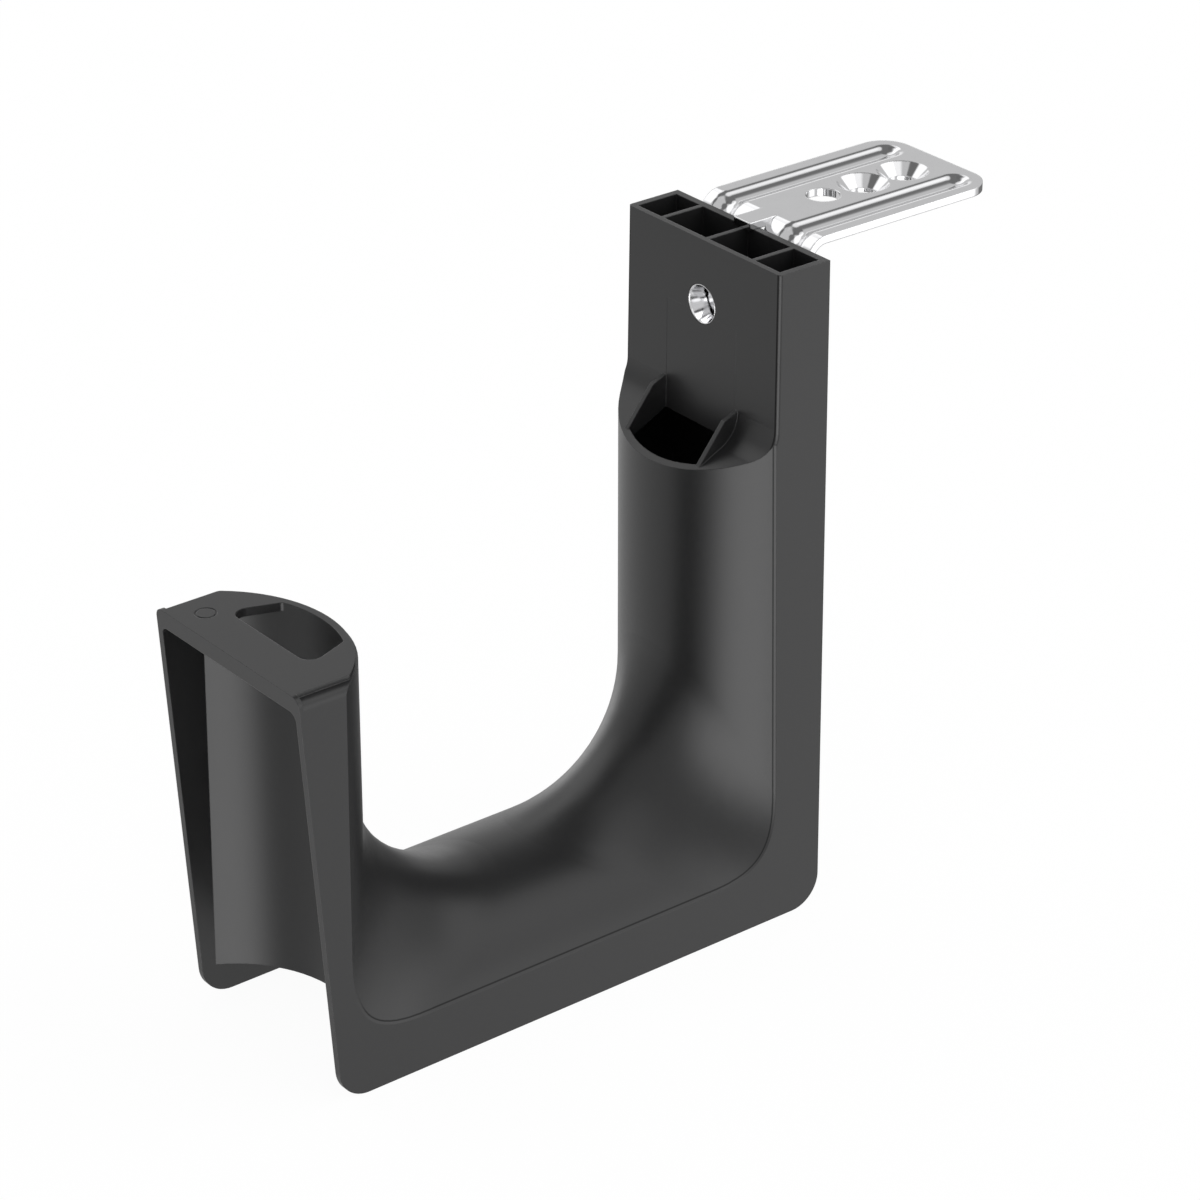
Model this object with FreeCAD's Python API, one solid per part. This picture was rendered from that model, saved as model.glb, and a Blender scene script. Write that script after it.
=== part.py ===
import FreeCAD, Part
import math
import os

# J hook cable support: a moulded hook with a half-round saddle, hung from a
# folded sheet angle by one hollow rivet. Sizes are in millimetres. The hook is
# built with its back face at y = 0, its front towards -y, its lowest edges at
# z = 0 and its middle plane at x = 0, then everything is moved so that the
# origin is the middle of the plain mounting hole on the angle's top face.

Vec = FreeCAD.Vector
UP = Vec(0, 0, 1)
BACK = Vec(0, 1, 0)
SIDE = Vec(1, 0, 0)

# Overall form of the hook
hook_height = 179.1        # lowest edges to the open top of the spine
top_width = 58.0           # width of the spine at its top
side_draft = 0.0088        # each side leans out by this per mm of drop
spine_depth = 15.87        # back face to front face at the top of the spine
front_draft = 0.0059       # lean of the spine's front face
shell_wall = 1.8           # wall of the half-round shell and the side flanges
rear_wall = 2.0            # flat wall that closes the back

# Half-round saddle: one arc section runs down the column, along and up the tip
saddle_radius = 34.7
saddle_height = 33.0       # lowest edges to the crown of the bottom leg
column_depth = 32.4        # back face to the crown of the column
bundle_gap = 96.2          # clear width between the two crowns
column_bend = 41.5         # radius of the bend between column and bottom leg
tip_bend = 43.6            # radius of the bend between bottom leg and tip
cross_wall_end = 8.4       # height at which rear wall and tip wall stop
wedge_gap = 4.0            # narrowest hollow kept beside the tip wall
flange_corner = 8.5        # rounded lower corners of the side flanges
spine_corner = 1.0         # round of the spine's upright front edges

# Shelf on top of the column
shelf_height = 124.95      # height of the shelf edge at the column's crown
shelf_slope = 0.47         # rise of the shelf towards the spine
shelf_cove = 9.0           # concave blend into the spine
shelf_wall = 2.6           # thickness of the shelf
pocket_half = 13.3         # half width of the opening through the shelf
fin_wall = 1.3             # thickness of the two fins beside the opening
fin_top = 138.6            # height at which a fin leaves the spine
fin_knee_out = 4.2         # knee of a fin in front of the spine
fin_knee_drop = 1.7        # knee of a fin below its top
fin_foot = 0.6             # foot of a fin in front of the opening's curve

# Open cells in the top of the spine
cell_side_wall = 1.9
cell_front_wall = 1.57
cell_web = 1.3
cell_pitch = 17.3          # web to web
cell_floor = 134.0         # height of the cells' floor
cell_floor_wall = 1.8

# Tip
tip_height = 112.5         # lowest edges to the top of the tip plate
tip_depth = 22.0           # crown to front edge, at the lowest edge
tip_lean = 0.0705          # forward lean of the front edges
tip_step = 1.15            # groove wall between plate and shoulder
tip_plate_half = 27.0      # half width of the raised plate
tip_plate_corner = 2.0     # its rear corners
tip_plate_back = 0.8       # the plate's back edge inside the crown
tip_shoulder = 2.4         # rounded shoulder beside the plate
tip_frame = 1.3            # full-width rim at the very front
tip_frame_corner = 2.5     # rounded upper corners of that rim
tip_plate_wall = 2.3       # plate thickness
tip_brow = 4.7             # plate thickness over the mouth of the pocket
tip_brow_depth = 1.8
tip_mouth_corner = 2.3     # corner radius of the pocket's mouth
tip_wall_draft = 0.0088    # forward lean of the pocket's rear wall per mm of height
slot_front = 18.0          # crown to the slot's front edge
slot_half = 17.2           # half width of the slot at its front
slot_side_lean = 0.36      # each side comes in by this per mm towards the crown
slot_corner = 3.3          # front corners of the slot
slot_back_corner = 1.5
mark_diameter = 5.5        # plain ring engraved beside the slot
mark_side = 19.3
mark_back = 7.4            # ring centre behind the front edge
mark_line = 0.45
mark_depth = 0.2

# Hollow rivet and its seat
rivet_drop = 17.0          # below the top of the spine
rivet_mouth = 10.4         # open front end, flush with the spine
rivet_shank = 8.4
rivet_bore = 7.0
rivet_funnel = 5.0         # depth of the funnel-shaped mouth
rivet_lip = 0.15           # edge of the mouth
rivet_play = 0.15          # radial room in the spine and in the angle
rivet_tail = 12.0          # head behind the angle
rivet_tail_height = 1.3
rivet_tail_edge = 0.6      # bevel around that head
boss_wall = 2.6

# Folded angle
sheet = 2.1
angle_width = 40.8
angle_reach = 62.3         # hook's back face to the far end
angle_drop = 40.0          # top face to the lower end behind the spine
angle_bend = 4.0           # inner radius of the fold
angle_corner = 8.0
bead_side = 12.8           # middle plane to the middle of a bead
bead_width = 9.5
bead_depth = 1.5
bead_crest = 2.5           # outer radius where a bead meets the flat sheet
bead_end = 2.5             # end of a bead before the end of the sheet
mount_hole = 8.8
mount_hole_back = 22.8
dimple_back = 36.0
dimple_pitch = 13.2
dimple_rim = 13.4
dimple_hole = 7.5
dimple_wall = 1.7          # pressed flank of a dimple
tongue_half = 3.0
tongue_reach = 3.5         # in front of the hook's back face

# Room that trimming and cutting shapes reach past a surface
past = 5.0

# Derived places
column_axis = saddle_radius - column_depth
leg_axis = saddle_height - saddle_radius
tip_crown = -(column_depth + bundle_gap)
tip_axis = tip_crown - saddle_radius
inner_radius = saddle_radius - shell_wall
half_wide = top_width / 2 + side_draft * hook_height + past
front_end = tip_crown - tip_depth - tip_lean * tip_height - past


def half_width(height):
    """Half the hook's width at a height."""
    return top_width / 2 + side_draft * (hook_height - height)


def spine_face(height):
    """Place of the spine's front face at a height."""
    return -(spine_depth + front_draft * (hook_height - height))


def tip_face(height):
    """Place of the front edges at a height."""
    return tip_crown - tip_depth - tip_lean * height


def shelf_at(place):
    """Height of the sloping shelf at a place in front of the spine."""
    return shelf_height + shelf_slope * (place + column_depth)


def rounded_face(corners, place):
    """Face through (u, v, radius) corners; place turns (u, v) into a point."""
    points = [Vec(u, v, 0) for u, v, radius in corners]
    count = len(corners)
    edges = []
    ends = []
    for index in range(count):
        corner = points[index]
        before = points[index - 1] - corner
        after = points[(index + 1) % count] - corner
        before.normalize()
        after.normalize()
        radius = corners[index][2]
        if radius <= 0:
            ends.append((corner, None, corner))
            continue
        half_angle = before.getAngle(after) / 2
        reach = radius / math.tan(half_angle)
        middle = before + after
        middle.normalize()
        centre = corner + middle * (radius / math.sin(half_angle))
        ends.append((corner + before * reach, centre - middle * radius, corner + after * reach))
    for index in range(count):
        start, middle, stop = ends[index]
        if middle is not None:
            arc = Part.Arc(place(start.x, start.y), place(middle.x, middle.y), place(stop.x, stop.y))
            edges.append(arc.toShape())
        following = ends[(index + 1) % count][0]
        if (following - stop).Length > 1e-6:
            edges.append(Part.makeLine(place(stop.x, stop.y), place(following.x, following.y)))
    return Part.Face(Part.Wire(edges))


def side_profile(corners, x_from, x_to):
    """Solid from a side view profile of (y, z, radius) corners."""
    face = rounded_face(corners, lambda u, v: Vec(x_from, u, v))
    return face.extrude(Vec(x_to - x_from, 0, 0))


def front_profile(corners, y_from, y_to):
    """Solid from a front view profile of (x, z, radius) corners."""
    face = rounded_face(corners, lambda u, v: Vec(u, y_from, v))
    return face.extrude(Vec(0, y_to - y_from, 0))


def plan_profile(corners, z_from, z_to):
    """Solid from a plan view profile of (x, y, radius) corners."""
    face = rounded_face(corners, lambda u, v: Vec(u, v, z_from))
    return face.extrude(Vec(0, 0, z_to - z_from))


def tapered_block(inset, y_from, y_to, z_from, z_to, top_radius=0.0):
    """Block between the leaning sides, moved in by an inset."""
    low = half_width(z_from) - inset
    high = half_width(z_to) - inset
    corners = [(-low, z_from, 0), (low, z_from, 0), (high, z_to, top_radius), (-high, z_to, top_radius)]
    return front_profile(corners, y_from, y_to)


def upright_half_round(radius, axis, facing, y_flat, z_from, z_to):
    """Upright half-round bar with its crown towards facing (-1 or +1 in y)."""
    half = min(half_wide, radius - shell_wall)
    reach = math.sqrt(radius ** 2 - half ** 2)
    left = Vec(-half, axis + facing * reach, z_from)
    crown = Vec(0, axis + facing * radius, z_from)
    right = Vec(half, axis + facing * reach, z_from)
    right_flat = Vec(half, y_flat, z_from)
    left_flat = Vec(-half, y_flat, z_from)
    edges = [Part.Arc(left, crown, right).toShape(), Part.makeLine(right, right_flat)]
    edges += [Part.makeLine(right_flat, left_flat), Part.makeLine(left_flat, left)]
    return Part.Face(Part.Wire(edges)).extrude(Vec(0, 0, z_to - z_from))


def level_half_round(radius, axis, y_from, y_to, z_flat):
    """Level half-round bar along y with its crown upwards."""
    half = min(half_wide, radius - shell_wall)
    reach = math.sqrt(radius ** 2 - half ** 2)
    left = Vec(-half, y_from, axis + reach)
    crown = Vec(0, y_from, axis + radius)
    right = Vec(half, y_from, axis + reach)
    right_flat = Vec(half, y_from, z_flat)
    left_flat = Vec(-half, y_from, z_flat)
    edges = [Part.Arc(left, crown, right).toShape(), Part.makeLine(right, right_flat)]
    edges += [Part.makeLine(right_flat, left_flat), Part.makeLine(left_flat, left)]
    return Part.Face(Part.Wire(edges)).extrude(Vec(0, y_to - y_from, 0))


def saddle_solid(inside):
    """Column, bottom leg and tip as one half-round body with blended bends, a wall's thickness inside."""
    radius = saddle_radius - inside
    column = upright_half_round(radius, column_axis, -1, past, -past, hook_height)
    leg = level_half_round(radius, leg_axis, front_end, past, -past)
    tip = upright_half_round(radius, tip_axis, 1, front_end, -past, tip_height)
    body = column.fuse([leg, tip]).removeSplitter().Solids[0]
    for bend, crown in ((column_bend, -column_depth), (tip_bend, tip_crown)):
        creases = []
        for edge in body.Edges:
            box = edge.BoundBox
            near = abs(edge.CenterOfMass.y - crown) < bundle_gap / 4
            if near and min(box.YLength, box.ZLength) > shell_wall and box.XLength > radius:
                creases.append(edge)
        body = body.makeFillet(bend + inside, creases).Solids[0]
    return body


def outline_block():
    """Everything inside the hook's side view outline and leaning sides."""
    foot = spine_face(shelf_height)
    corners = [(0, 0, flange_corner), (0, hook_height, 0), (-spine_depth, hook_height, 0)]
    corners.append((foot, shelf_at(foot), shelf_cove))
    clear = column_depth + past
    corners.append((-clear, shelf_at(-clear), 0))
    corners.append((-clear, tip_height, 0))
    corners.append((tip_face(tip_height), tip_height, 0))
    corners.append((tip_face(0), 0, flange_corner))
    outline = side_profile(corners, -half_wide, half_wide)
    block = outline.common(tapered_block(0, front_end, past, -past, hook_height)).Solids[0]
    upright = []
    for edge in block.Edges:
        at_front = abs(edge.CenterOfMass.y + spine_depth) < spine_corner
        if at_front and edge.BoundBox.ZLength > spine_depth:
            upright.append(edge)
    return block.makeFillet(spine_corner, upright)


def tip_top_cut():
    """Space around the raised plate and over the rounded corners of shoulder and front rim."""
    shoulder = tip_height - tip_step
    low = tip_height - 2.0 * (tip_step + tip_frame_corner)
    behind = tip_face(tip_height) + tip_frame
    back = tip_crown + past
    rise = tip_height + past - low
    room = Part.makeBox(2 * half_wide, back - behind, rise, Vec(-half_wide, behind, low))
    side = tapered_block(0, behind - past, back + past, low - past, shoulder, tip_shoulder)
    plate = upright_half_round(saddle_radius, tip_axis - tip_plate_back, 1, front_end, low, tip_height)
    strip_at = Vec(-tip_plate_half, front_end, low)
    strip = Part.makeBox(2 * tip_plate_half, back - front_end, tip_height, strip_at)
    plate = plate.common(strip)
    rear = []
    for edge in plate.Edges:
        if edge.BoundBox.ZLength > tip_step and edge.CenterOfMass.y > tip_axis:
            rear.append(edge)
    room = room.cut([side, plate.makeFillet(tip_plate_corner, rear)])
    rim_room = Part.makeBox(2 * half_wide, behind - front_end, rise, Vec(-half_wide, front_end, low))
    rim = tapered_block(0, front_end - past, behind + past, low - past, tip_height, tip_frame_corner)
    return [room, rim_room.cut(rim)]


def tip_curve():
    """Space in front of the pocket's concave rear wall, which leans by its draft."""
    bar = upright_half_round(inner_radius, tip_axis, 1, front_end, -past, tip_height + past)
    bar.rotate(Vec(0, tip_axis, cross_wall_end), SIDE, math.degrees(math.atan(tip_wall_draft)))
    return bar


def tip_pocket():
    """Hollow of the tip, open to the front and below."""
    ceiling = tip_height - tip_plate_wall
    mouth_top = tip_height - tip_brow
    low = tapered_block(shell_wall, front_end, tip_crown, -past, mouth_top, tip_mouth_corner)
    behind_brow = tip_face(mouth_top) + tip_brow_depth
    high = tapered_block(shell_wall, behind_brow, tip_crown, mouth_top - past, ceiling, tip_mouth_corner)
    return low.fuse(high).common(tip_curve())


def tip_slot():
    """Slot through the tip plate, flush with the pocket's rear wall."""
    front = tip_crown - slot_front
    narrow = slot_half - slot_side_lean * slot_front
    corners = [(-slot_half, front, slot_corner), (slot_half, front, slot_corner),
               (narrow, tip_crown, 0), (-narrow, tip_crown, 0)]
    slot = plan_profile(corners, tip_height - tip_plate_wall - past, tip_height + past).common(tip_curve())
    upright = []
    for edge in slot.Edges:
        if edge.BoundBox.ZLength > tip_plate_wall and edge.CenterOfMass.y > front + slot_front / 2:
            upright.append(edge)
    return slot.makeFillet(slot_back_corner, upright)


def hollow_core():
    """Hollow under the bottom leg and inside the column, open below."""
    core = saddle_solid(shell_wall).common(tapered_block(shell_wall, front_end, past, -past, hook_height))
    ceiling = cell_floor - cell_floor_wall
    front = -(spine_depth - cell_front_wall)
    foot = spine_face(shelf_height)
    drop = shelf_wall * math.sqrt(1 + shelf_slope ** 2)
    above_bends = saddle_height + 1.5 * max(column_bend, tip_bend)
    corners = [(-rear_wall, cross_wall_end, 0), (-rear_wall, ceiling, 0), (front, ceiling, 0),
               (front, shelf_at(foot) - drop, 0), (foot, shelf_at(foot) - drop, 0),
               (-column_depth, shelf_height - drop, 0), (-column_depth - past, above_bends, 0),
               (front_end, above_bends, 0), (front_end, -past, 0), (past, -past, 0),
               (past, cross_wall_end, 0)]
    core = core.common(side_profile(corners, -half_wide, half_wide))
    tip_wall = upright_half_round(saddle_radius, tip_axis, 1, front_end, cross_wall_end, tip_height)
    rise = math.sqrt((tip_bend + shell_wall) ** 2 - (tip_bend - wedge_gap) ** 2)
    cap = saddle_height + tip_bend - rise
    beside = tip_crown + tip_bend
    wedge = plan_profile([(-half_wide, front_end, 0), (half_wide, front_end, 0),
                          (half_wide, beside, 0), (-half_wide, beside, 0)], cap, tip_height)
    return core.cut([tip_wall, wedge])


def spine_cells():
    """Four open cells in the top of the spine."""
    front = -(spine_depth - cell_front_wall)
    block = tapered_block(cell_side_wall, front, -rear_wall, cell_floor, hook_height + past)
    webs = []
    for place in (-cell_pitch, 0.0, cell_pitch):
        corner = Vec(place - cell_web / 2, -spine_depth, cell_floor - past)
        webs.append(Part.makeBox(cell_web, spine_depth, hook_height, corner))
    return block.cut(webs)


def shelf_opening():
    """Way from the shelf down into the hollow column, between the fins."""
    foot = spine_face(shelf_height)
    top = shelf_at(foot) + 3.0 * shelf_cove
    low = shelf_height - 3.0 * shelf_wall
    clear = column_depth + past
    curve = upright_half_round(inner_radius, column_axis, -1, past, low, top)
    corners = [(spine_face(top), top, 0), (spine_face(low), low, 0), (-clear, low, 0), (-clear, top, 0)]
    return side_profile(corners, -pocket_half, pocket_half).common(curve)


def fins():
    """Two thin fins that stand on the shelf beside the opening."""
    wall = spine_face(fin_top)
    inside = wall + cell_front_wall / 2
    front = column_axis - math.sqrt(inner_radius ** 2 - pocket_half ** 2) - fin_foot
    sunk = shelf_wall / 2
    corners = [(inside, fin_top, 0), (wall, fin_top, 0), (wall - fin_knee_out, fin_top - fin_knee_drop, 0),
               (front, shelf_at(front), 0), (front + sunk, shelf_at(front) - sunk, 0),
               (inside, shelf_at(inside) - sunk, 0)]
    right = side_profile(corners, pocket_half, pocket_half + fin_wall)
    left = side_profile(corners, -pocket_half - fin_wall, -pocket_half)
    return [right, left]


def rivet_seat(play):
    """Space for the rivet: shank and funnel-shaped mouth."""
    height = hook_height - rivet_drop
    face = spine_face(height)
    axis_point = Vec(0, 0, height)
    shank = rivet_shank / 2 + play
    mouth = rivet_mouth / 2
    profile = [(0, face - past), (mouth, face - past), (mouth, face), (shank, face + rivet_funnel),
               (shank, past), (0, past)]
    points = [Vec(u, v, height) for u, v in profile]
    wire = Part.makePolygon(points + [points[0]])
    return Part.Face(wire).revolve(axis_point, BACK, 360)


def hook_body():
    """The moulded hook."""
    body = saddle_solid(0.0).common(outline_block())
    body = body.cut(tip_top_cut()).removeSplitter().Solids[0]
    body = body.cut([tip_pocket(), hollow_core(), spine_cells(), shelf_opening(), tip_slot()])
    height = hook_height - rivet_drop
    boss_radius = rivet_mouth / 2 + boss_wall
    boss_length = spine_depth - cell_front_wall / 2 - rear_wall / 2
    boss = Part.makeCylinder(boss_radius, boss_length, Vec(0, -boss_length - rear_wall / 2, height), BACK)
    body = body.fuse([boss] + fins()).removeSplitter()
    body = body.cut(rivet_seat(rivet_play))
    ring_at = Vec(-mark_side, tip_face(tip_height) + mark_back, tip_height - mark_depth)
    ring = Part.makeCylinder(mark_diameter / 2, past, ring_at)
    ring = ring.cut(Part.makeCylinder(mark_diameter / 2 - mark_line, past, ring_at))
    return body.cut(ring).removeSplitter().Solids[0]


def bead_trough():
    """Turn of a bead's flanks, and radius and centre depth of its trough."""
    turn = 2 * math.atan(2 * bead_depth / bead_width)
    radius = bead_width / 2 / math.sin(turn) - bead_crest
    return turn, radius, bead_depth - radius


def bead_top(middle):
    """Arcs of a bead's upper surface, as triples of (x, depth) from left to right."""
    turn, radius, centre = bead_trough()

    def on_crest(angle, hand):
        out = bead_width / 2 - bead_crest * math.sin(angle)
        return (middle + hand * out, bead_crest - bead_crest * math.cos(angle))

    def on_trough(angle):
        return (middle + radius * math.sin(angle), centre + radius * math.cos(angle))

    left = (on_crest(0.0, -1), on_crest(turn / 2, -1), on_crest(turn, -1))
    bottom = (on_trough(-turn), on_trough(0.0), on_trough(turn))
    right = (on_crest(turn, 1), on_crest(turn / 2, 1), on_crest(0.0, 1))
    return [left, bottom, right]


def bead_underside(middle):
    """Arc of a bead's lower surface, one sheet below its trough."""
    turn, radius, centre = bead_trough()
    reach = math.sqrt((radius + sheet) ** 2 - (sheet - centre) ** 2)
    return [((middle - reach, sheet), (middle, bead_depth + sheet), (middle + reach, sheet))]


def surface_edges(bead, depth, place):
    """Edges of the sheet's upper or lower surface across its width, left to right."""
    last = (-angle_width / 2, depth)
    edges = []
    for middle in (-bead_side, bead_side):
        curves = bead(middle)
        edges.append(Part.makeLine(place(*last), place(*curves[0][0])))
        for first, half, final in curves:
            edges.append(Part.Arc(place(*first), place(*half), place(*final)).toShape())
        last = curves[-1][2]
    edges.append(Part.makeLine(place(*last), place(angle_width / 2, depth)))
    return edges


def sheet_section(place):
    """Face across the beaded sheet; place turns (x, depth) into a point."""
    half = angle_width / 2
    edges = surface_edges(bead_top, 0.0, place) + surface_edges(bead_underside, sheet, place)
    for side in (-half, half):
        edges.append(Part.makeLine(place(side, 0.0), place(side, sheet)))
    return Part.Face(Part.Wire(Part.sortEdges(edges)[0]))


def bead_dish(middle, run, place):
    """Round end of a bead: half the bead's section turned about the sheet's normal."""
    first, half, final = bead_top(middle)[2]
    edge_of_underside = bead_underside(middle)[0][2]
    turn, radius, centre = bead_trough()
    reach = edge_of_underside[0] - middle
    edges = []
    for size, angle in ((radius, turn), (radius + sheet, math.asin(reach / (radius + sheet)))):
        arc = [place(middle + size * math.sin(part), run, centre + size * math.cos(part))
               for part in (0.0, angle / 2, angle)]
        edges.append(Part.Arc(*arc).toShape())
    crest = [place(x, run, depth) for x, depth in (first, half, final)]
    edges.append(Part.Arc(*crest).toShape())
    rim = place(middle + bead_width / 2, run, sheet)
    edges.append(Part.makeLine(crest[2], rim))
    if abs(reach - bead_width / 2) > 1e-6:
        edges.append(Part.makeLine(rim, place(middle + reach, run, sheet)))
    edges.append(Part.makeLine(place(middle, run, bead_depth), place(middle, run, bead_depth + sheet)))
    face = Part.Face(Part.Wire(Part.sortEdges(edges)[0]))
    normal = place(0, 0, 1) - place(0, 0, 0)
    return face.revolve(place(middle, run, 0.0), normal, 360)


def beaded_leg(length, place):
    """One leg of the angle, from the fold to its rounded end; place maps (x, run, depth)."""
    along = place(0, 1, 0) - place(0, 0, 0)
    normal = place(0, 0, 1) - place(0, 0, 0)
    half = angle_width / 2
    stop = length - bead_end - bead_width / 2
    thick = sheet + bead_depth + 2 * past
    leg = sheet_section(lambda x, depth: place(x, 0, depth)).extrude(along * stop)
    corners = [(-half, stop, 0), (half, stop, 0), (half, length, 0), (-half, length, 0)]
    tail = rounded_face(corners, lambda u, v: place(u, v, 0.0)).extrude(normal * sheet)
    for middle in (-bead_side, bead_side):
        tail = tail.cut(Part.makeCylinder(bead_width / 2, thick, place(middle, stop, -past), normal))
        beyond = [(middle - bead_width, stop, 0), (middle + bead_width, stop, 0),
                  (middle + bead_width, length, 0), (middle - bead_width, length, 0)]
        room = rounded_face(beyond, lambda u, v: place(u, v, -past)).extrude(normal * thick)
        tail = tail.fuse(bead_dish(middle, stop, place).common(room))
    outline = [(-half, 0, 0), (half, 0, 0), (half, length, angle_corner), (-half, length, angle_corner)]
    limit = rounded_face(outline, lambda u, v: place(u, v, -past)).extrude(normal * thick)
    return leg.fuse(tail).common(limit)


def dimple(centre):
    """Added metal and cut of one countersunk dimple pressed down from the top."""
    rim = dimple_rim / 2
    hole = dimple_hole / 2
    depth = rim - hole
    outside = rim + dimple_wall * math.sqrt(2)
    low = depth + sheet / 2
    added = [(hole, sheet / 2), (outside - sheet / 2, sheet / 2), (outside - low, low), (hole, low)]
    cut = [(0, -past), (rim, -past), (rim, 0), (hole, depth), (hole, low + past), (0, low + past)]
    solids = []
    for profile in (added, cut):
        points = [centre + Vec(u, 0, -v) for u, v in profile]
        wire = Part.makePolygon(points + [points[0]])
        solids.append(Part.Face(wire).revolve(centre, UP, 360))
    return solids


def mounting_bracket():
    """The folded sheet angle: top leg with beads, dimples and tongue, rear leg behind the spine."""
    top = hook_height + sheet
    fold = angle_bend + sheet
    upper = beaded_leg(angle_reach - fold, lambda x, run, depth: Vec(x, fold + run, top - depth))
    lower = beaded_leg(angle_drop - fold, lambda x, run, depth: Vec(x, depth, top - fold - run))
    section = sheet_section(lambda x, depth: Vec(x, fold, top - depth))
    bend = section.revolve(Vec(0, fold, top - fold), SIDE, 90)
    angle = upper.fuse([lower, bend])
    tongue_length = fold + tongue_reach
    straight = tongue_length - math.pi / 2 * (angle_bend + sheet / 2)
    window_drop = fold + max(straight, 0.0)
    window_at = Vec(-tongue_half, -past, top - window_drop)
    window = Part.makeBox(2 * tongue_half, fold + past, window_drop + past, window_at)
    angle = angle.cut(window)
    tongue_at = Vec(-tongue_half, -tongue_reach, hook_height)
    tongue = Part.makeBox(2 * tongue_half, tongue_length, sheet, tongue_at)
    angle = angle.fuse(tongue)
    through = sheet + 2 * past
    cuts = [Part.makeCylinder(mount_hole / 2, through, Vec(0, mount_hole_back, hook_height - past))]
    for place in (dimple_back, dimple_back + dimple_pitch):
        added, cut = dimple(Vec(0, place, top))
        angle = angle.fuse(added)
        cuts.append(cut)
    seat_radius = rivet_shank / 2 + rivet_play
    cuts.append(Part.makeCylinder(seat_radius, through, Vec(0, -past, hook_height - rivet_drop), BACK))
    return angle.cut(cuts).removeSplitter().Solids[0]


def tubular_rivet():
    """Hollow rivet: funnel mouth flush in the spine, rolled head behind the angle."""
    height = hook_height - rivet_drop
    face = spine_face(height)
    mouth = rivet_mouth / 2 - rivet_play
    shank = rivet_shank / 2
    bore = rivet_bore / 2
    tail = rivet_tail / 2
    end = sheet + rivet_tail_height
    edge = end - rivet_tail_edge
    profile = [(mouth, face), (shank, face + rivet_funnel), (shank, sheet), (tail, sheet),
               (tail, edge), (tail - rivet_tail_edge, end), (bore, end), (bore, face + rivet_funnel),
               (mouth - rivet_lip, face)]
    points = [Vec(u, v, height) for u, v in profile]
    outline = Part.Face(Part.makePolygon(points + [points[0]]))
    return outline.revolve(Vec(0, 0, height), BACK, 360)


if __name__ == "__main__":
    os.makedirs("parts", exist_ok=True)
    shift = Vec(0, -mount_hole_back, -(hook_height + sheet))
    makers = {"hook_body": hook_body, "mounting_bracket": mounting_bracket, "tubular_rivet": tubular_rivet}
    for name, maker in makers.items():
        shape = maker()
        shape.translate(shift)
        box = shape.BoundBox
        size = (round(box.XLength, 1), round(box.YLength, 1), round(box.ZLength, 1))
        print(name, shape.isValid(), len(shape.Solids), round(shape.Volume, 1), size)
        shape.exportStep("parts/" + name + ".step")
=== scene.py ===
"""Looks of a j hook cable support: a black moulded hook under a bright folded sheet angle."""

import logging
import math
from dataclasses import dataclass, field
from enum import Enum
from typing import Union

import bpy
from mathutils import Matrix, Vector


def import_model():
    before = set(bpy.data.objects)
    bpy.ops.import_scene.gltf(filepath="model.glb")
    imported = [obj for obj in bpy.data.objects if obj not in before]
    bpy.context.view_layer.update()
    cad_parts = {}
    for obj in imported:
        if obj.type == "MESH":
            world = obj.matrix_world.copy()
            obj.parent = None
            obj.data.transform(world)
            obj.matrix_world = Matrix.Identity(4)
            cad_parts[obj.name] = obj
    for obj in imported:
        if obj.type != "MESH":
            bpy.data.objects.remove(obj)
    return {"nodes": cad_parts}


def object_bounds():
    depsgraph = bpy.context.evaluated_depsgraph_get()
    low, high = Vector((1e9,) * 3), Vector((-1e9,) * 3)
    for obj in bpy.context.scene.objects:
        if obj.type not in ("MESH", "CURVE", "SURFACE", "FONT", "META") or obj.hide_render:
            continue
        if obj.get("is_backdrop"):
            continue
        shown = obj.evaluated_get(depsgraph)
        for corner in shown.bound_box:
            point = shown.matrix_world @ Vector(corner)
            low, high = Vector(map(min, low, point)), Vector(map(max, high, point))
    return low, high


Number = Union[int, float]
Pair = tuple[float, float]
Triple = tuple[float, float, float]

MM = 0.001
HOOK = "hook_body"
ANGLE = "mounting_bracket"
RIVET = "tubular_rivet"
WHITE = (1.0, 1.0, 1.0, 1.0)
BEVEL_SAMPLES = 6
SHARP_TURN: Pair = (0.01, 0.22)

log = logging.getLogger("j_hook")


class Spread(Enum):
    """How a noise is stretched over a surface."""

    EVEN = "even"
    ROLLED = "rolled"


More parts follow.
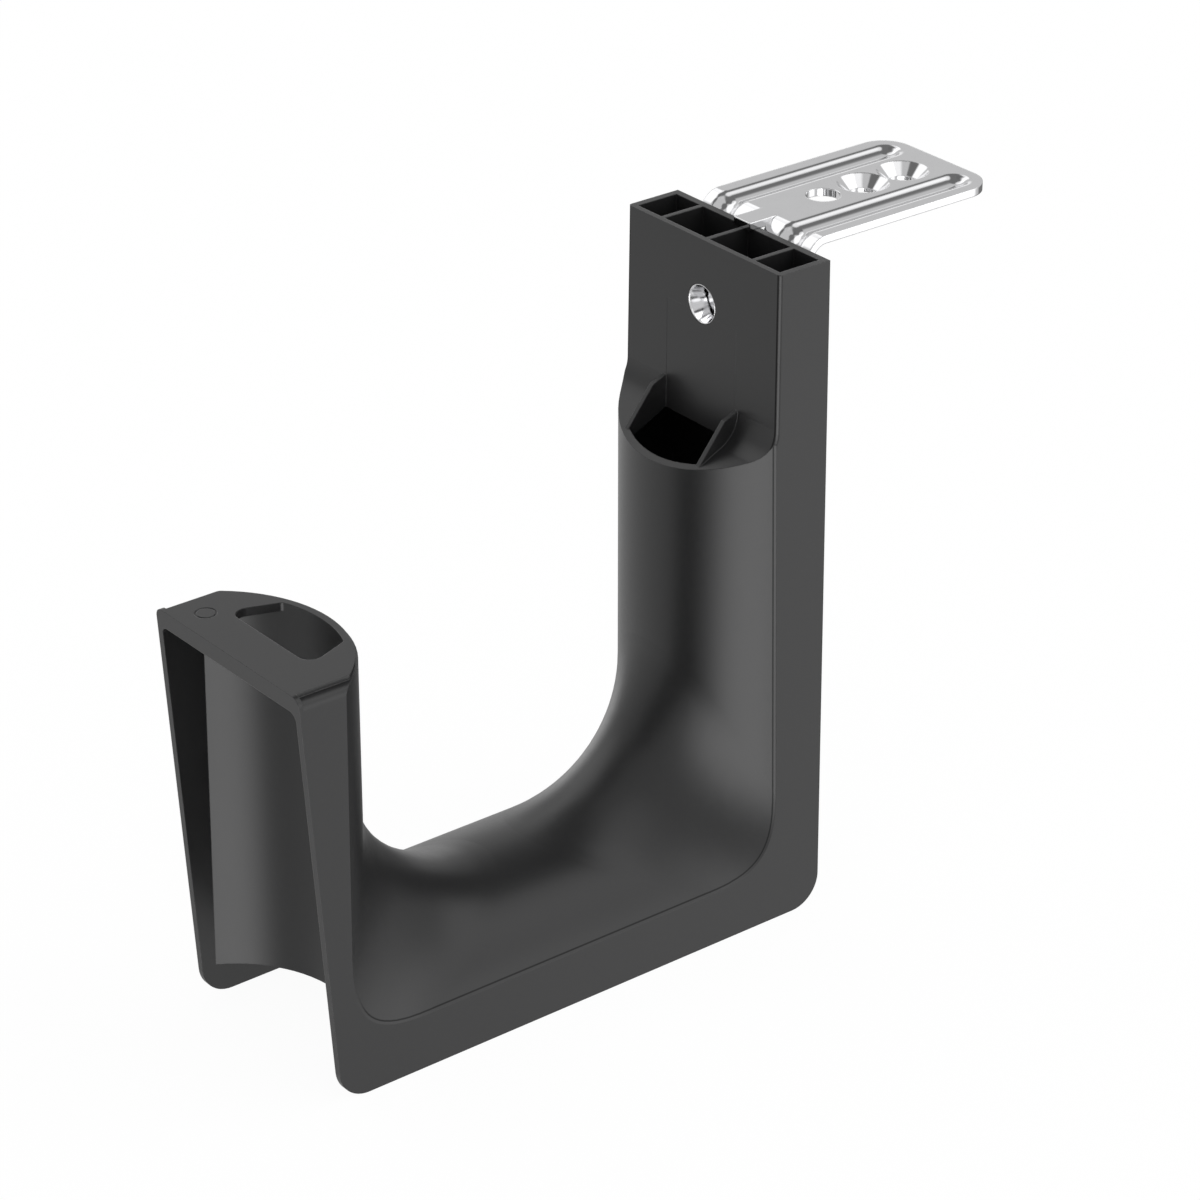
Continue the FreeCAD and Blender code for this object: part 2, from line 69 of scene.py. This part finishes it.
class Wave:
    """A shader value or vector that takes part in Python sums."""

    def __init__(self, graph: "Graph", socket: bpy.types.NodeSocket) -> None:
        """Keep the socket and the graph that it lies in.

        Args:
            graph: The graph that new nodes are added to.
            socket: The output socket that carries the value.
        """
        self.graph = graph
        self.socket = socket

    def _math(self, operation: str, *values: object) -> "Wave":
        """Add one Math node.

        Args:
            operation: The node's operation.
            values: Numbers or waves for its inputs, in order.

        Returns:
            The result.
        """
        inputs = dict(enumerate(values))
        return self.graph.node("ShaderNodeMath", {"operation": operation}, inputs)

    def __add__(self, other: object) -> "Wave":
        """This value plus another."""
        return self._math("ADD", self, other)

    def __radd__(self, other: object) -> "Wave":
        """Another value plus this one."""
        return self._math("ADD", other, self)

    def __sub__(self, other: object) -> "Wave":
        """This value less another."""
        return self._math("SUBTRACT", self, other)

    def __rsub__(self, other: object) -> "Wave":
        """Another value less this one."""
        return self._math("SUBTRACT", other, self)

    def __mul__(self, other: object) -> "Wave":
        """This value times another."""
        return self._math("MULTIPLY", self, other)

    def __rmul__(self, other: object) -> "Wave":
        """Another value times this one."""
        return self._math("MULTIPLY", other, self)

    def __truediv__(self, other: object) -> "Wave":
        """This value divided by another."""
        return self._math("DIVIDE", self, other)

    def __pow__(self, other: object) -> "Wave":
        """This value to a power."""
        return self._math("POWER", self, other)

    def __abs__(self) -> "Wave":
        """This value without its sign."""
        return self._math("ABSOLUTE", self)

    def at_least(self, floor: Number) -> "Wave":
        """This value, or the floor where it is lower."""
        return self._math("MAXIMUM", self, floor)

    def dot(self, other: object) -> "Wave":
        """Dot product with another vector."""
        return self.graph.vector("DOT_PRODUCT", self, other, output="Value")

    def step(self, low: Number, high: Number, to_low: Number = 0.0, to_high: Number = 1.0) -> "Wave":
        """Smooth change between two values.

        Args:
            low: Where the change starts.
            high: Where it ends.
            to_low: The result before the start.
            to_high: The result past the end.

        Returns:
            The smooth step.
        """
        settings = {"interpolation_type": "SMOOTHSTEP"}
        inputs = {"Value": self, "From Min": low, "From Max": high, "To Min": to_low, "To Max": to_high}
        return self.graph.node("ShaderNodeMapRange", settings, inputs)


class Graph:
    """A node tree under construction."""

    def __init__(self, tree: bpy.types.NodeTree) -> None:
        """Clear the tree.

        Args:
            tree: The tree of a material or of the world.
        """
        self.tree = tree
        tree.nodes.clear()

    def raw(self, kind: str, settings: dict, inputs: dict) -> bpy.types.Node:
        """Add a node, set its options, then fill its inputs.

        Args:
            kind: The node's type.
            settings: Its options, set first.
            inputs: Socket name or number to a number, tuple or wave.

        Returns:
            The node.
        """
        made = self.tree.nodes.new(kind)
        for name, value in settings.items():
            setattr(made, name, value)
        for key, value in inputs.items():
            if isinstance(value, Wave):
                self.tree.links.new(value.socket, made.inputs[key])
            else:
                made.inputs[key].default_value = value
        return made

    def node(self, kind: str, settings: dict, inputs: dict, output: Union[int, str] = 0) -> Wave:
        """Add a node and give one of its outputs.

        Args:
            kind: The node's type.
            settings: Its options.
            inputs: Values or waves for its inputs.
            output: The output's name or number.

        Returns:
            The output as a wave.
        """
        return Wave(self, self.raw(kind, settings, inputs).outputs[output])

    def vector(self, operation: str, *values: object, output: str = "Vector") -> Wave:
        """Add a Vector Math node.

        Args:
            operation: The node's operation.
            values: Vectors or waves for its inputs, in order.
            output: Vector or Value.

        Returns:
            The result.
        """
        return self.node("ShaderNodeVectorMath", {"operation": operation}, dict(enumerate(values)), output)

    def blend(self, amount: object, first: object, second: object) -> Wave:
        """Mix two colours.

        Args:
            amount: 0 gives the first colour, 1 the second.
            first: A colour or wave.
            second: A colour or wave.

        Returns:
            The mixed colour.
        """
        made = self.raw("ShaderNodeMix", {"data_type": "RGBA"}, {0: amount, 6: first, 7: second})
        return Wave(self, made.outputs[2])

    def noise(self, place: Wave, scale: float, detail: float = 3.0, roughness: float = 0.5) -> Wave:
        """Add a noise.

        Args:
            place: Coordinates in metres.
            scale: Waves per metre.
            detail: Octaves.
            roughness: Weight of the finer octaves.

        Returns:
            The noise, from 0 to 1.
        """
        inputs = {"Vector": place, "Scale": scale, "Detail": detail, "Roughness": roughness}
        return self.node("ShaderNodeTexNoise", {"noise_dimensions": "3D"}, inputs, "Fac")

    def object_place(self, stretch: Triple = (1.0, 1.0, 1.0)) -> Wave:
        """Object coordinates, stretched.

        Args:
            stretch: Factor along each axis.

        Returns:
            The coordinates.
        """
        place = self.node("ShaderNodeTexCoord", {}, {}, "Object")
        return self.vector("MULTIPLY", place, stretch)

    def edge_mask(self, radius: float) -> Wave:
        """Mask of sharp edges, from a rounded normal.

        Args:
            radius: Reach of the mask in metres.

        Returns:
            0 on flat stretches, rising to 1 on edges.
        """
        normal = self.node("ShaderNodeNewGeometry", {}, {}, "Normal")
        return (1.0 - self.rounded(radius).dot(normal)).step(*SHARP_TURN)

    def rounded(self, radius: float) -> Wave:
        """Normal that rounds the edges.

        Args:
            radius: Radius of the rounding in metres.

        Returns:
            The rounded normal.
        """
        return self.node("ShaderNodeBevel", {"samples": BEVEL_SAMPLES}, {"Radius": radius})

    def split(self, vector: Wave) -> list[Wave]:
        """Parts of a vector.

        Args:
            vector: The vector.

        Returns:
            Its X, Y and Z.
        """
        parts = self.raw("ShaderNodeSeparateXYZ", {}, {0: vector})
        return [Wave(self, parts.outputs[axis]) for axis in "XYZ"]


def opaque(colour: Triple) -> tuple[float, float, float, float]:
    """A colour with full alpha."""
    return (*colour, 1.0)


@dataclass(frozen=True)
class MouldedNylon:
    """Black nylon as it leaves a finely eroded mould, with painted highlights on its sharp edges and a
    painted shadow line along the side creases.
    """

    name: str = "black_nylon"
    colour: Triple = (0.015, 0.015, 0.0155)
    # Lighter tone for the random flow and mottle, also the colour of the painted highlight on sharp edges.
    tone_and_edge_highlight: Triple = (0.048, 0.048, 0.049)
    # Nearly black colour of the painted shadow line along the side creases.
    seam_shadow_colour: Triple = (0.012, 0.012, 0.012)
    roughness: float = 0.34
    refraction: float = 1.5
    grain: float = 0.35 * MM
    grain_height: float = 0.012 * MM
    grain_strength: float = 0.45
    mottle: float = 1.40 * MM
    flow: float = 28.0 * MM
    flow_stretch: Triple = (1.0, 1.0, 0.35)
    edge: float = 0.55 * MM
    edge_radius: float = 0.33 * MM
    flow_shade: float = 0.20
    mottle_shade: float = 0.16
    edge_highlight: float = 0.55
    shade_range: Pair = (-0.25, 1.0)
    flow_gloss: float = 0.05
    mottle_gloss: float = 0.08
    edge_gloss: float = 0.06
    half_width: float = 28.98 * MM
    side_draft: float = 0.0088
    seam_rise: Pair = (0.55 * MM, 0.70 * MM)
    seam_fall: Pair = (0.85 * MM, 1.15 * MM)
    seam_shadow_strength: float = 0.65
    seam_front: Pair = (-168.0 * MM, -165.0 * MM)
    seam_level: Pair = (0.70, 0.85)

    def build(self) -> bpy.types.Material:
        """Make the material.

        Returns:
            A material on object coordinates.
        """
        material = bpy.data.materials.new(self.name)
        material.use_nodes = True
        graph = Graph(material.node_tree)
        place = graph.object_place()
        flow = graph.noise(graph.object_place(self.flow_stretch), 1.0 / self.flow, 2.0) - 0.5
        mottle = graph.noise(place, 1.0 / self.mottle, 4.0, 0.6) - 0.5
        grain = graph.noise(place, 1.0 / self.grain, 3.0, 0.65)
        # Painted highlight: sharp edges are mixed towards the lighter colour, standing in for light caught
        # by rounded edges.
        edge = graph.edge_mask(self.edge)
        shade = flow * self.flow_shade + mottle * self.mottle_shade + edge * self.edge_highlight
        colour = graph.blend(shade.step(*self.shade_range), opaque(self.colour), opaque(self.tone_and_edge_highlight))
        gloss = self.roughness + mottle * self.mottle_gloss + flow * self.flow_gloss
        bump = graph.node("ShaderNodeBump", {}, {
            "Height": grain, "Distance": self.grain_height, "Strength": self.grain_strength,
            "Normal": graph.rounded(self.edge_radius)})
        shader = graph.node("ShaderNodeBsdfPrincipled", {}, {
            "Base Color": colour, "Roughness": gloss - edge * self.edge_gloss,
            "Normal": bump, "IOR": self.refraction})
        shadow = graph.node("ShaderNodeBsdfDiffuse", {}, {"Color": opaque(self.seam_shadow_colour)})
        # Painted shadow: a thin line along the side creases is mixed towards a nearly black diffuse
        # shader.
        painted_seam_shadow = self.painted_seam_shadow(graph) * self.seam_shadow_strength
        with_seam_shadow = graph.node("ShaderNodeMixShader", {}, {0: painted_seam_shadow, 1: shader, 2: shadow})
        graph.raw("ShaderNodeOutputMaterial", {}, {"Surface": with_seam_shadow})
        return material

    def painted_seam_shadow(self, graph: Graph) -> Wave:
        """Painted shadow: a fine dark line where the front surfaces run into the flat sides.

        Args:
            graph: The material's graph.

        Returns:
            1 in the line, 0 elsewhere.
        """
        across, along, upward = graph.split(graph.object_place())
        sideways, _, level = graph.split(graph.node("ShaderNodeNewGeometry", {}, {}, "Normal"))
        inside = self.half_width - upward * self.side_draft - abs(across)
        reach = inside / (1.0 - sideways * sideways + 0.001) ** 0.5
        line = reach.step(*self.seam_rise) * reach.step(*self.seam_fall, 1.0, 0.0)
        return line * along.step(*self.seam_front) * level.step(*self.seam_level, 1.0, 0.0)


@dataclass(frozen=True)
class BrightSheet:
    """Bright plated steel sheet with a faint rolling grain."""

    name: str = "bright_sheet"
    colour: Triple = (0.80, 0.80, 0.81)
    dull: Triple = (0.70, 0.70, 0.71)
    roughness: float = 0.075
    spread: Spread = Spread.ROLLED
    rolled_stretch: Triple = (1.0, 0.04, 0.04)
    grain: float = 0.25 * MM
    ripple: float = 0.3
    ripple_height: float = 0.001 * MM
    cloud: float = 9.0 * MM
    scuff: float = 1.6 * MM
    scuff_stretch: Triple = (1.0, 0.35, 1.0)
    scuff_range: Pair = (0.60, 0.74)
    edge: float = 0.50 * MM
    cloud_shade: float = 0.5
    scuff_shade: float = 0.25
    grain_shade: float = 0.3
    shade_range: Pair = (-0.2, 0.6)
    grain_gloss: float = 0.04
    cloud_gloss: float = 0.04
    scuff_gloss: float = 0.03
    edge_gloss: float = 0.03

    def build(self) -> bpy.types.Material:
        """Make the material.

        Returns:
            A material on object coordinates.
        """
        material = bpy.data.materials.new(self.name)
        material.use_nodes = True
        graph = Graph(material.node_tree)
        stretch = self.rolled_stretch if self.spread is Spread.ROLLED else (1.0, 1.0, 1.0)
        rolling = graph.noise(graph.object_place(stretch), 1.0 / self.grain, 4.0, 0.6)
        grain = rolling - 0.5
        cloud = graph.noise(graph.object_place(), 1.0 / self.cloud, 3.0, 0.55) - 0.5
        scuffs = graph.noise(graph.object_place(self.scuff_stretch), 1.0 / self.scuff, 5.0, 0.7)
        scuffs = scuffs.step(*self.scuff_range)
        edge = graph.edge_mask(self.edge)
        shade = cloud * self.cloud_shade + scuffs * self.scuff_shade + grain * self.grain_shade
        colour = graph.blend(shade.step(*self.shade_range), opaque(self.colour), opaque(self.dull))
        gloss = self.roughness + grain * self.grain_gloss + cloud * self.cloud_gloss
        gloss = gloss + scuffs * self.scuff_gloss + edge * self.edge_gloss
        bump = graph.node("ShaderNodeBump", {}, {
            "Height": rolling, "Distance": self.ripple_height, "Strength": self.ripple,
            "Normal": graph.rounded(self.edge)})
        shader = graph.node("ShaderNodeBsdfPrincipled", {}, {
            "Base Color": colour, "Metallic": 1.0, "Roughness": gloss, "Normal": bump})
        graph.raw("ShaderNodeOutputMaterial", {}, {"Surface": shader})
        return material


@dataclass(frozen=True)
class PhotoCamera:
    """The photograph's camera, in the part's frame."""

    place: Triple = (0.7321, -0.6487, 0.3922)
    azimuth: float = 51.70
    elevation: float = 27.363
    focal_pixels: float = 4221.7
    picture_pixels: float = 1200.0
    sensor: float = 36.0
    clip: Pair = (0.01, 50.0)

    def build(self) -> bpy.types.Object:
        """Make the camera and use it for the scene.

        Returns:
            The camera object.
        """
        turn = math.radians(self.azimuth)
        tilt = math.radians(self.elevation)
        right = Vector((math.cos(turn), math.sin(turn), 0.0))
        back = Vector((math.sin(turn) * math.cos(tilt), -math.cos(turn) * math.cos(tilt), math.sin(tilt)))
        up = back.cross(right)
        data = bpy.data.cameras.new("photo_camera")
        data.sensor_width = self.sensor
        data.lens = self.focal_pixels / self.picture_pixels * self.sensor
        data.clip_start, data.clip_end = self.clip
        camera = bpy.data.objects.new("photo_camera", data)
        bpy.context.scene.collection.objects.link(camera)
        turned = Matrix((right, up, back)).transposed().to_4x4()
        camera.matrix_world = Matrix.Translation(Vector(self.place)) @ turned
        bpy.context.scene.camera = camera
        return camera


@dataclass(frozen=True)
class Panel:
    """A soft bright or dark patch of the surroundings."""

    towards: Triple
    width: float
    edge: float
    level: float


@dataclass
class Studio:
    """White paper floor and even surroundings with soft panels."""

    floor_height: float
    floor_colour: float = 0.80
    floor_reach: float = 6.0
    paper_glow: float = 1.03
    paper_share: float = 0.93
    base_level: float = 0.62
    lowest_level: float = 0.16
    panels: tuple[Panel, ...] = field(default_factory=lambda: (
        Panel(towards=(-0.78, -0.20, 0.55), width=20.0, edge=5.0, level=0.7),
        Panel(towards=(-0.70, 0.28, 0.66), width=12.0, edge=2.0, level=0.65),
        Panel(towards=(0.30, 0.58, 0.76), width=23.0, edge=4.0, level=0.8),
        Panel(towards=(0.55, 0.00, 0.83), width=18.0, edge=6.0, level=0.5),
        Panel(towards=(0.80, 0.50, 0.25), width=16.0, edge=10.0, level=0.95),
        Panel(towards=(-0.28, 0.30, 0.90), width=26.0, edge=5.0, level=-0.44),
        Panel(towards=(-0.29, -0.49, 0.81), width=15.0, edge=3.0, level=-0.45),
        Panel(towards=(-0.30, -0.14, 0.94), width=7.0, edge=3.0, level=-0.40),
        Panel(towards=(-0.26, -0.76, 0.59), width=9.0, edge=3.0, level=-0.40),
        Panel(towards=(-0.26, -0.93, 0.25), width=9.0, edge=3.0, level=-0.35),
        Panel(towards=(-0.69, -0.60, -0.40), width=30.0, edge=15.0, level=0.08),
        Panel(towards=(-0.79, 0.60, 0.08), width=12.0, edge=5.0, level=0.35),
        Panel(towards=(-0.97, 0.19, -0.12), width=14.0, edge=6.0, level=0.8),
        Panel(towards=(-0.26, 0.88, -0.33), width=25.0, edge=6.0, level=-0.42),
        Panel(towards=(0.70, -0.57, -0.43), width=25.0, edge=12.0, level=2.6),
        Panel(towards=(0.74, 0.58, -0.22), width=18.0, edge=12.0, level=0.87),
    ))

    def build_world(self) -> None:
        """Light the object from all round and show white behind it."""
        world = bpy.data.worlds.new("studio_surroundings")
        bpy.context.scene.world = world
        world.use_nodes = True
        graph = Graph(world.node_tree)
        view = graph.node("ShaderNodeTexCoord", {}, {}, "Generated")
        level: object = self.base_level
        for panel in self.panels:
            towards = tuple(Vector(panel.towards).normalized())
            inner = math.cos(math.radians(panel.width - panel.edge))
            outer = math.cos(math.radians(panel.width + panel.edge))
            level = view.dot(towards).step(outer, inner) * panel.level + level
        path = graph.raw("ShaderNodeLightPath", {}, {})
        seen = Wave(graph, path.outputs["Is Camera Ray"])
        level = level.at_least(self.lowest_level)
        lit = graph.node("ShaderNodeBackground", {}, {"Color": WHITE, "Strength": level})
        white = graph.node("ShaderNodeBackground", {}, {"Color": WHITE, "Strength": 1.0})
        shown = graph.node("ShaderNodeMixShader", {}, {0: seen, 1: lit, 2: white})
        graph.raw("ShaderNodeOutputWorld", {}, {"Surface": shown})

    def build_floor(self) -> bpy.types.Object:
        """Make the floor under the hook.

        Returns:
            The floor object.
        """
        reach = self.floor_reach
        corners = [(-reach, -reach, 0.0), (reach, -reach, 0.0), (reach, reach, 0.0), (-reach, reach, 0.0)]
        mesh = bpy.data.meshes.new("studio_floor")
        mesh.from_pydata(corners, [], [(0, 1, 2, 3)])
        floor = bpy.data.objects.new("studio_floor", mesh)
        floor.location = (0.0, 0.0, self.floor_height)
        bpy.context.scene.collection.objects.link(floor)
        material = bpy.data.materials.new("pale_floor")
        material.use_nodes = True
        graph = Graph(material.node_tree)
        tone = opaque((self.floor_colour,) * 3)
        matt = graph.node("ShaderNodeBsdfDiffuse", {}, {"Color": tone})
        white = graph.node("ShaderNodeEmission", {}, {"Color": WHITE, "Strength": self.paper_glow})
        clear = graph.node("ShaderNodeBsdfTransparent", {}, {})
        path = graph.raw("ShaderNodeLightPath", {}, {})
        seen = Wave(graph, path.outputs["Is Camera Ray"])
        mirrored = Wave(graph, path.outputs["Is Glossy Ray"])
        paper = graph.node("ShaderNodeMixShader", {}, {0: mirrored, 1: matt, 2: clear})
        shown = graph.node("ShaderNodeMixShader", {}, {0: seen * self.paper_share, 1: paper, 2: white})
        underside = graph.node("ShaderNodeNewGeometry", {}, {}, "Backfacing")
        sided = graph.node("ShaderNodeMixShader", {}, {0: underside, 1: shown, 2: clear})
        graph.raw("ShaderNodeOutputMaterial", {}, {"Surface": sided})
        floor.data.materials.append(material)
        floor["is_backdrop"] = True
        return floor

    def build(self) -> None:
        """Make the whole studio."""
        self.build_world()
        self.build_floor()


@dataclass
class CableHook:
    """The three pieces of the support and their finishes."""

    nodes: dict[str, bpy.types.Object]
    plastic: MouldedNylon = field(default_factory=MouldedNylon)
    angle_metal: BrightSheet = field(default_factory=BrightSheet)
    rivet_metal: BrightSheet = field(default_factory=lambda: BrightSheet(
        name="bright_rivet", colour=(0.88, 0.88, 0.89), dull=(0.82, 0.82, 0.83),
        spread=Spread.EVEN, roughness=0.08, ripple=0.1))

    def dress(self, node: str, material: bpy.types.Material) -> None:
        """Give a node its material.

        Args:
            node: The node's name.
            material: The material for all its faces.
        """
        mesh = self.nodes[node].data
        mesh.materials.clear()
        mesh.materials.append(material)
        log.info("%s wears %s", node, material.name)

    def build(self) -> None:
        """Dress every piece."""
        self.dress(HOOK, self.plastic.build())
        self.dress(ANGLE, self.angle_metal.build())
        self.dress(RIVET, self.rivet_metal.build())


def plain(bounds: object) -> list[list[float]]:
    """Bounds as plain lists.

    Args:
        bounds: The lowest and highest corners.

    Returns:
        Two lists of three numbers.
    """
    return [[float(value) for value in corner] for corner in bounds]


def main() -> None:
    """Load the frame, dress it, light it and set the camera."""
    logging.basicConfig(level=logging.INFO, format="%(message)s")
    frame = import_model()
    cad_box = plain(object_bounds())
    scene = bpy.context.scene
    scene.view_settings.view_transform = "Standard"
    PhotoCamera().build()
    Studio(floor_height=cad_box[0][2]).build()
    CableHook(nodes=frame["nodes"]).build()


if __name__ == "__main__":
    main()
